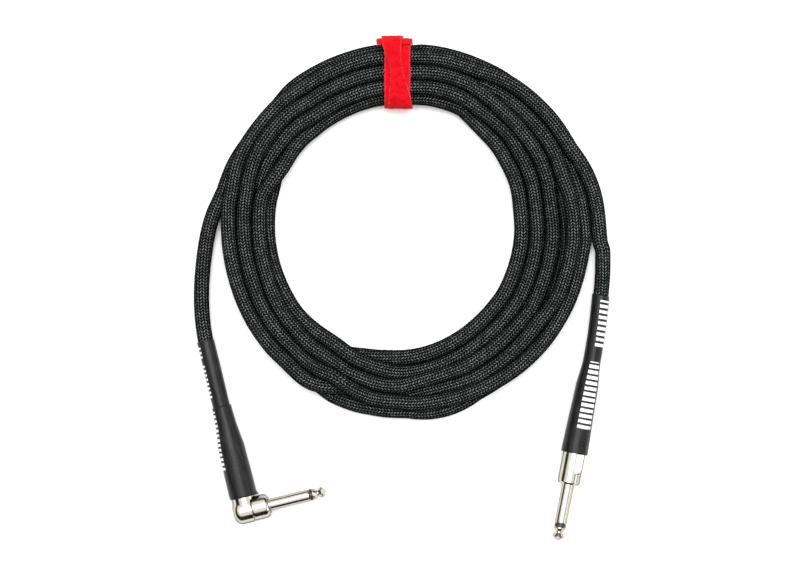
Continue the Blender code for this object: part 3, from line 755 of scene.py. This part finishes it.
def plug_contacts(prefix, matrix, shoulder, rear, nickel, black):
    """The shaft, the ring and the tip of a phone plug."""
    tube_end = rear - TUBE_BEHIND
    rod_end = rear - ROD_BEHIND
    shaft = [
        (SHAFT_BORE_R, shoulder + SHAFT_LENGTH),
        (SHAFT_R - 0.22, shoulder + SHAFT_LENGTH),
        (SHAFT_R - 0.06, shoulder + SHAFT_LENGTH - 0.08),
        (SHAFT_R, shoulder + SHAFT_LENGTH - 0.3),
        (SHAFT_R, rear),
        (SHAFT_BORE_R, rear),
    ]
    ring = [
        (TUBE_R[1], shoulder + RING[1]),
        (RING_R - 0.1, shoulder + RING[1]),
        (RING_R, shoulder + RING[1] - 0.1),
        (RING_R, shoulder + RING[0] + 0.1),
        (RING_R - 0.1, shoulder + RING[0]),
        (TUBE_R[0], shoulder + RING[0]),
        (TUBE_R[0], tube_end),
        (TUBE_R[1], tube_end),
    ]
    tip = [(0.0, rod_end), (ROD_R, rod_end), (ROD_R, shoulder + TIP[0][1])]
    tip += [(r, shoulder + z) for r, z in TIP]
    shaft = turned_piece(prefix + "shaft", shaft, matrix, nickel)
    ring = turned_piece(prefix + "ring", ring, matrix, black)
    tip = turned_piece(prefix + "tip", tip, matrix, nickel, looped=False, spacing=0.3)
    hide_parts(prefix + "sleeve_contact")
    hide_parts(prefix + "tip_insulator")
    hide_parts(prefix + "tip_contact")
    return [shaft, ring, tip]


def sleeve_detail(seed, ripples, lip=None, over_braid=None):
    """The unevenness of a shrunk tube, small folds across one side, and a flared lip at its mouth.

    ripples is (turn, reach, from, to, pitch, height) and lip is (turn, reach, mouth, height). Past
    over_braid the tube lies on the cable, and its braid shows through.
    """

    def detail(turn, along, radius):
        around = np.radians(turn)
        place = (6.0 * np.cos(around), 6.0 * np.sin(around), 0.35 * along)
        place = np.stack(np.broadcast_arrays(*place), axis=-1)
        outside = np.clip((radius - 4.5) / 0.2, 0.0, 1.0)
        grow = 0.05 * waves(place, 7.0, seed)
        middle, reach, low, high, pitch, height = ripples
        side = np.exp(-(((turn - middle) / reach) ** 2))
        window = np.clip((along - low) / 1.5, 0, 1) * np.clip((high - along) / 1.5, 0, 1)
        slant = along + 0.02 * (turn - middle)
        grow = grow + height * side * window * (0.5 + 0.5 * np.cos(2 * np.pi * slant / pitch))
        if lip is not None:
            middle, reach, mouth, height = lip
            side = np.exp(-(((turn - middle) / reach) ** 2))
            grow = grow + height * side * np.clip(1.0 - (along - mouth) / 2.2, 0.0, 1.0) ** 1.6
        if over_braid is not None:
            under = np.clip((along - over_braid) / 2.0, 0.0, 1.0)
            weave = np.sin(8 * around + 3.8 * along) * np.sin(8 * around - 3.8 * along)
            grow = grow + 0.02 * under * weave
        return outside * grow

    return detail


SOCKET_R = 6.6
KNUCKLE_R = 6.8
KNUCKLE_FRONT = 3.2
KNUCKLE_BACK = -7.2
KNUCKLE_CORNER = 4.2
CAST_VOXEL = 0.22
CAST_SOFTENING = 6


def cast_elbow(nickel):
    """The elbow: a socket for the cable run into a knuckle for the shaft, with soft cast edges."""

    def solid(name, profile, matrix):
        return turned_piece(name, profile, matrix, nickel, looped=False)

    def rod(radius, high, low):
        return [(0.0, high), (radius, high), (radius, low), (0.0, low)]

    socket = solid("socket", rod(SOCKET_R, 24.0, -0.4), ANGLED_CABLE)
    back = (KNUCKLE_CORNER + KNUCKLE_BACK, KNUCKLE_R - KNUCKLE_CORNER)
    corner = [(r, z) for z, r in arc(KNUCKLE_CORNER, 90.0, 180.0, 12, back)]
    rim = [(KNUCKLE_R - 0.18, KNUCKLE_FRONT), (KNUCKLE_R, KNUCKLE_FRONT - 0.18)]
    knuckle = solid("knuckle", [(0.0, KNUCKLE_FRONT), *rim, *corner], ANGLED_SHAFT)
    cutters = [
        solid("socket_bore", rod(5.4, 25.0, 0.0), ANGLED_CABLE),
        solid("front_bore", rod(5.2, 4.2, -5.8), ANGLED_SHAFT),
        solid("front_seat", rod(7.6, 12.0, KNUCKLE_FRONT), ANGLED_SHAFT),
    ]
    union = socket.modifiers.new("join", "BOOLEAN")
    union.operation, union.object, union.solver = "UNION", knuckle, "MANIFOLD"
    for cutter in cutters:
        cut = socket.modifiers.new("cut", "BOOLEAN")
        cut.operation, cut.object, cut.solver = "DIFFERENCE", cutter, "MANIFOLD"
    remesh = socket.modifiers.new("even", "REMESH")
    remesh.mode, remesh.voxel_size = "VOXEL", CAST_VOXEL * MM
    soften = socket.modifiers.new("soften", "SMOOTH")
    soften.factor, soften.iterations = 0.5, CAST_SOFTENING
    bpy.context.view_layer.update()
    graph = bpy.context.evaluated_depsgraph_get()
    mesh = bpy.data.meshes.new_from_object(socket.evaluated_get(graph))
    mesh.name = "angled_elbow_cast"
    mesh.shade_smooth()
    for helper in [socket, knuckle, *cutters]:
        bpy.data.objects.remove(helper, do_unlink=True)
    return new_object("angled_elbow_cast", mesh, nickel)


def pocket_detail(turn, along, radius):
    """The flat pocket with a round end that is milled into the straight plug's shell."""
    off = np.radians(turn - POCKET_TURN)
    lateral = SHELL_R * np.sin(off)
    nose = POCKET_END - POCKET_HALF_WIDTH
    past = np.clip(along - nose, 0.0, None)
    reach = np.hypot(lateral, past)
    inside = np.clip((POCKET_HALF_WIDTH - reach) / 0.12, 0.0, 1.0) * (np.cos(off) > 0)
    floor = np.minimum(radius, POCKET_FLOOR / np.maximum(np.cos(off), 0.2) - 0.12)
    on_outside = radius > SHELL_R - 0.3
    return np.where(on_outside, inside * (floor - radius), 0.0)


def shrink_sleeve(prefix, profile, matrix, bars, detail, bend):
    sleeve = turned_piece(
        prefix + "sleeve",
        profile,
        matrix,
        shrink_material("shrink_" + prefix[:-1], bars),
        sides=144,
        spacing=0.3,
        detail=detail,
        bend=bend,
        sharp=50.0,
    )
    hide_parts(prefix + "shrink_outer")
    return sleeve


def make_angled_plug(nickel, black):
    plug_contacts("angled_", ANGLED_SHAFT, ANGLED_SHOULDER, 1.6, nickel, black)
    elbow = cast_elbow(nickel)
    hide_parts("angled_elbow")
    bore = SHAFT_R + GAP
    front = [
        (bore, 12.2), (5.5, 12.2), (5.75, 12.05), (6.4, 10.9), (6.5, 10.6),
        (6.5, 3.75), (6.35, 3.5), (4.9, 3.5), (4.9, 1.9), (bore, 1.9),
    ]  # fmt: skip
    front = turned_piece("angled_front_barrel", front, ANGLED_SHAFT, nickel, sides=96)
    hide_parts("angled_front")
    washer = [(bore, 12.5), (4.5, 12.5), (4.5, 12.85)]
    washer += [(4.35, ANGLED_SHOULDER), (bore, ANGLED_SHOULDER)]
    washer = turned_piece("angled_washer", washer, ANGLED_SHAFT, nickel, sides=96)
    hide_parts("angled_flange_washer")

    mouth, end = ANGLED_SLEEVE
    outside = [
        (7.2, mouth), (7.45, mouth + 0.3), (7.5, 9.0), (7.45, 20.0), (7.2, 34.9), (6.4, 41.0),
        (5.7, 46.9), (5.3, 57.2), (5.2, ANGLED_STEP - 0.2), (4.85, ANGLED_STEP + 0.1),
        (4.75, ANGLED_STEP + 0.6), (4.75, end - 0.5), (4.6, end),
    ]  # fmt: skip
    inside = [(4.3, end), (4.3, 58.0), (5.05, 46.9), (6.4, 34.9), (6.4, 25.2), (6.9, 24.6)]
    inside.append((6.9, mouth))
    bars = [
        (-94.0, -50.0, 24.0, 56.0, 2.6, 0.55),
        (-88.0, -48.0, 63.5, 81.5, 2.4, 0.5),
        (-88.0, -48.0, 85.5, 92.5, 2.4, 0.5),
    ]
    ripples, lip = (30.0, 16.0, 21.0, 33.0, 2.1, 0.16), (90.0, 26.0, mouth, 1.2)
    shrink_sleeve(
        "angled_", outside + inside, ANGLED_CABLE, bars,
        sleeve_detail(5, ripples, lip, 60.0), (ANGLED_BEND, ANGLED_STEP, end),
    )  # fmt: skip


def make_straight_plug(nickel, black):
    pieces = plug_contacts("straight_", STRAIGHT_SHAFT, 0.0, -16.0, nickel, black)
    shell = [
        (4.1, 0.0), (5.1, 0.0), (5.3, -0.08), (5.88, -0.9), (SHELL_R, -1.15),
        (SHELL_R, -SHELL_LENGTH), (SHELL_BORE_R, -SHELL_LENGTH), (SHELL_BORE_R, -1.8), (4.1, -1.8),
    ]  # fmt: skip
    shell = turned_piece(
        "straight_plug_shell", shell, STRAIGHT_SHAFT, nickel,
        sides=240, spacing=0.15, detail=pocket_detail,
    )  # fmt: skip
    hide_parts("straight_shell")
    mouth, end = STRAIGHT_SLEEVE
    outside = [
        (7.1, mouth), (7.3, mouth + 0.3), (6.75, 34.0), (6.1, 54.4), (5.4, 60.0), (4.85, 65.0),
        (4.75, 66.4), (4.75, end - 0.5), (4.6, end),
    ]  # fmt: skip
    inside = [(4.3, end), (4.3, 64.5), (5.3, 54.0), (5.9, 35.2), (6.25, 34.6), (6.25, mouth)]
    bars = [(-14.0, 58.0, 31.0, 67.5, 3.0, 0.6), (-2.0, 72.0, 76.0, 101.0, 3.0, 0.55)]
    ripples = (34.0, 22.0, 17.5, 29.5, 2.0, 0.2)
    sleeve = shrink_sleeve(
        "straight_", outside + inside, STRAIGHT_CABLE, bars,
        sleeve_detail(11, ripples, None, 68.0), (STRAIGHT_BEND, STRAIGHT_STEP, end),
    )  # fmt: skip
    return [*pieces, shell, sleeve]


# ---------------------------------------------------------------------------------------------
# The tie
# ---------------------------------------------------------------------------------------------


FELT_STEP = 0.4
FELT_ACROSS = 26  # faces across each side of a band
FELT_ROUND = 4  # faces round each of its edges
FELT_EDGE = 0.3
FINE_NAP = (0.07, 1.3)  # height, and how long its waves are
COARSE_NAP = (0.05, 4.0)
RAGGED_EDGE = (0.14, 2.2)


def rounded_rectangle(low, high, corner, count):
    points = []
    for quarter, (right, top) in enumerate([(1, 1), (0, 1), (0, 0), (1, 0)]):
        x = high[0] - corner if right else low[0] + corner
        y = high[1] - corner if top else low[1] + corner
        middle = (x, y)
        points += arc(corner, 90.0 * quarter, 90.0 * quarter + 90.0, count, middle)
    return points


def between(rows, share):
    """The middle and half width at a share of a band's length, on a smooth curve through rows."""
    at, *sides = np.array(rows).T
    slopes = [np.gradient(side, at) for side in sides]
    i = min(max(int(np.searchsorted(at, share)) - 1, 0), len(at) - 2)
    step = at[i + 1] - at[i]
    t = (share - at[i]) / step
    rise, ease_in, ease_out = t * t * (3 - 2 * t), t * (1 - t) ** 2 * step, t * t * (t - 1) * step
    return [
        side[i] + (side[i + 1] - side[i]) * rise + slope[i] * ease_in + slope[i + 1] * ease_out
        for side, slope in zip(sides, slopes)
    ]


def felt_band(name, path, width_at, thickness, material, body, seed, looped=False):
    """A band of felt along a path of (y, z), with soft edges and an uneven nap.

    width_at gives the band's middle in x and its half width at each share of its length.
    """
    corners = np.array([*path, path[0]] if looped else path, float)
    lengths = np.concatenate([[0.0], np.cumsum(np.linalg.norm(np.diff(corners, axis=0), axis=1))])
    count = round(lengths[-1] / FELT_STEP)
    at = np.linspace(0.0, lengths[-1], count + 1)[: count if looped else count + 1]
    line = np.stack([np.interp(at, lengths, corners[:, i]) for i in range(2)], axis=1)
    if looped:
        way = np.roll(line, -1, axis=0) - np.roll(line, 1, axis=0)
    else:
        way = np.gradient(line, axis=0)
    way /= np.linalg.norm(way, axis=1)[:, None]
    out = np.stack([way[:, 1], -way[:, 0]], axis=1)
    middle, half = np.array([width_at(share) for share in at / lengths[-1]]).T
    section = []
    shares = [-1.0 + 2.0 * i / FELT_ACROSS for i in range(FELT_ACROSS + 1)]
    turns = [math.pi * i / FELT_ROUND for i in range(1, FELT_ROUND)]
    for sign in (1.0, -1.0):
        section += [(sign * share, 0.0, sign) for share in shares]
        section += [(sign, math.sin(a), sign * math.cos(a)) for a in turns]
    across, bulge, side = np.array(section).T
    thin = thickness * (0.5 - 0.16 * np.abs(across) ** 8)
    if not looped:
        ends = np.clip(np.minimum(np.arange(len(at)), np.arange(len(at))[::-1]) / 1.5, 0.0, 1.0)
        thin = thin[None, :] * (0.55 + 0.45 * ends[:, None])
    x = middle[:, None] + (half[:, None] - FELT_EDGE) * across + np.sign(across) * bulge * FELT_EDGE
    lift = thin * side
    points = np.empty((*x.shape, 3))
    points[..., 0] = x
    points[..., 1] = line[:, :1] + out[:, :1] * lift
    points[..., 2] = line[:, 1:] + out[:, 1:] * lift
    nap = FINE_NAP[0] * waves(points, FINE_NAP[1], seed)
    nap += COARSE_NAP[0] * waves(points, COARSE_NAP[1], seed + 1)
    points[..., 1] += out[:, :1] * nap * side
    points[..., 2] += out[:, 1:] * nap * side
    ragged = RAGGED_EDGE[0] * waves(points, RAGGED_EDGE[1], seed + 2)
    points[..., 0] += np.abs(across) ** 6 * ragged
    edge = np.concatenate([np.abs(across), np.abs(across[:1])])
    rows = np.arange(len(at) + (1 if looped else 0)) / len(at)
    uvs = np.stack(np.broadcast_arrays(edge[None, :], rows[:, None]), axis=-1)
    mesh = grid_mesh(name, points, uvs, looped)
    obj = new_object(name, mesh, material, body)
    return obj, lengths[-1]


def make_tie(felt):
    low, high = (STRAP_Y[0], STRAP_Z[0]), (STRAP_Y[1], STRAP_Z[1])
    path = rounded_rectangle(low, high, STRAP_CORNER, 10)
    strap, around = felt_band(
        "tie_strap_felt", path, lambda share: (STRAP_X, STRAP_HALF_WIDTH), STRAP_T,
        felt, "root", 21, looped=True,
    )  # fmt: skip
    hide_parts("tie_strap")

    outer_corner = (STRAP_Y[1] - STRAP_CORNER, STRAP_Z[1] - STRAP_CORNER)
    head_r = STRAP_CORNER + STRAP_T + GAP
    path = arc(head_r, *HEAD_ARC, 12, outer_corner)
    head, _ = felt_band(
        "tie_head_felt", path, lambda share: (HEAD_X, HEAD_HALF_WIDTH), STRAP_T, felt, "root", 31
    )
    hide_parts("tie_head")

    flap_r = head_r + (STRAP_T + FLAP_T) / 2 + GAP
    top = STRAP_Z[1] + (STRAP_T + FLAP_T) / 2 + GAP
    inner_corner = (STRAP_Y[0] + STRAP_CORNER, STRAP_Z[1] - STRAP_CORNER)
    path = arc(flap_r, *FLAP_ARC, 12, outer_corner)
    path += [(outer_corner[0] + y, top + z) for y, z in ((1.4, 0.9), (-2.2, 0.1), (-5.0, 0.0))]
    path += [(y, top) for y in (117.0, 112.0, 107.5)]
    path += arc(top - inner_corner[1], *FLAP_END_ARC, 10, inner_corner)
    flap, length = felt_band(
        "tie_flap_felt", path, lambda share: between(FLAP_OUTLINE, share), FLAP_T,
        felt, "tie_flap", 41,
    )  # fmt: skip
    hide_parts("tie_flap")


# ---------------------------------------------------------------------------------------------
# The stage
# ---------------------------------------------------------------------------------------------

VIEW_MIDDLE = (-1.16, 1.46)
VIEW_WIDTH = 432.4  # what the picture is wide, at the height of the coil's middle
VIEW_HEIGHT = 1600.0  # the camera above the height of the coil's middle
COIL_HEIGHT = 8.0
SENSOR = 36.0
TABLE_DROP = 0.2

# The sky's lights. Its ranges are parts of a unit direction: x right, y away, z up.
CEILING_LIGHT = 1.5
CEILING_EDGE = 0.5  # the height where the ceiling's light starts, which falls with y
CEILING_TILT = 0.25
CEILING_FADE = 0.18
PANEL_LIGHT = 11.0
PANEL_LEFT = (-0.3, -0.06)
PANEL_RIGHT = (0.05, 0.27)
PANEL_REACH = (-0.09, 0.42)
PANEL_SOFT = 0.02
PANEL_END_SOFT = 0.04
SIDE_LIGHT = 3.0
SIDE_PANEL = (0.84, 0.965)
SIDE_RISE = (0.16, 0.22)
HORIZON_LIGHT = 0.25
HORIZON_FADE = (0.06, 0.14)
DARK_LIGHT = 0.02


def make_camera():
    data = bpy.data.cameras.new("camera")
    data.sensor_width = SENSOR
    data.lens = SENSOR * VIEW_HEIGHT / VIEW_WIDTH
    data.clip_end = 10.0
    camera = bpy.data.objects.new("camera", data)
    camera.location = Vector((*VIEW_MIDDLE, VIEW_HEIGHT + COIL_HEIGHT)) * MM
    bpy.context.scene.collection.objects.link(camera)
    bpy.context.scene.camera = camera


def make_stage():
    mesh = bpy.data.meshes.new("table")
    shape = bmesh.new()
    bmesh.ops.create_grid(shape, x_segments=1, y_segments=1, size=4.0)
    shape.to_mesh(mesh)
    shape.free()
    table = bpy.data.objects.new("table", mesh)
    table.location.z = -TABLE_DROP * MM
    bpy.context.scene.collection.objects.link(table)
    n = Nodes("table_white")
    n.set(Base_Color=(0.93, 0.93, 0.93, 1.0), Roughness=0.9, Specular_IOR_Level=0.0)
    mesh.materials.append(n.material)

    world = bpy.data.worlds.new("studio")
    bpy.context.scene.world = world
    world.use_nodes = True
    studio_sky(world.node_tree)
    bpy.context.scene.view_settings.view_transform = "Standard"


def studio_sky(node_tree):
    """A broad overhead light with two bright panels in it, one panel low at the right, and a pale
    horizon.
    """
    sky = Tree(node_tree)

    def rise(value, low, high):
        return sky.curve(value, low, high, shape="SMOOTHSTEP")

    def window(value, low, high, soft=PANEL_SOFT):
        closing = sky.math("SUBTRACT", 1.0, rise(value, high - soft, high + soft))
        return sky.math("MULTIPLY", rise(value, low - soft, low + soft), closing)

    split = sky.add("ShaderNodeSeparateXYZ")
    sky.feed(split.inputs[0], sky.add("ShaderNodeTexCoord").outputs["Generated"])
    x, y, z = split.outputs
    low = sky.math("SUBTRACT", CEILING_EDGE, sky.math("MULTIPLY", y, CEILING_TILT))
    ceiling = rise(z, low, sky.math("ADD", low, CEILING_FADE))
    above = sky.math("GREATER_THAN", z, 0.0)
    panels = sky.math("ADD", window(x, *PANEL_LEFT), window(x, *PANEL_RIGHT))
    reach = window(y, *PANEL_REACH, PANEL_END_SOFT)
    panels = sky.math("MULTIPLY", sky.math("MULTIPLY", panels, reach), above)
    horizon = sky.math("SUBTRACT", 1.0, rise(z, *HORIZON_FADE))
    side = sky.math("MULTIPLY", window(x, *SIDE_PANEL), rise(z, *SIDE_RISE))
    total = sky.math("MULTIPLY", ceiling, CEILING_LIGHT)
    for light, strength in ((horizon, HORIZON_LIGHT), (panels, PANEL_LIGHT), (side, SIDE_LIGHT)):
        total = sky.math("ADD", total, sky.math("MULTIPLY", light, strength))
    total = sky.math("ADD", total, DARK_LIGHT)
    background = node_tree.nodes["Background"]
    background.inputs["Color"].default_value = (1.0, 0.995, 0.985, 1.0)
    sky.feed(background.inputs["Strength"], total)


make_camera()
make_stage()
cable, centres, cable_length = make_cable()

nickel = nickel_material()
black = plain_material("insulator_nylon", (0.012, 0.012, 0.012), 0.4)
felt = felt_material()
straight_pieces = make_straight_plug(nickel, black)
make_angled_plug(nickel, black)
make_tie(felt)

SLOT_MATERIALS = {
    "nickel": nickel,
    "insulator": black,
    "tie_felt": felt,
    "braid": bpy.data.materials["braid_yarn"],
    "shrink_sleeve": plain_material("shrink_inner", (0.014, 0.014, 0.015), 0.4),
    "brass": plain_material("stamped_brass", (0.7, 0.48, 0.2), 0.3, 1.0),
    "inner_jacket": plain_material("flexible_jacket", (0.025, 0.025, 0.026), 0.5),
    "copper": plain_material("copper_strands", (0.78, 0.36, 0.2), 0.3, 1.0),
    "inner_insulation": plain_material("foamed_insulation", (0.82, 0.82, 0.8), 0.5),
}
for row in frame["record"]["subparts"]:
    mesh = bpy.data.objects[row["node"]].data
    mesh.materials.clear()
    mesh.materials.append(SLOT_MATERIALS[row["material_slot"]])

bpy.context.view_layer.update()
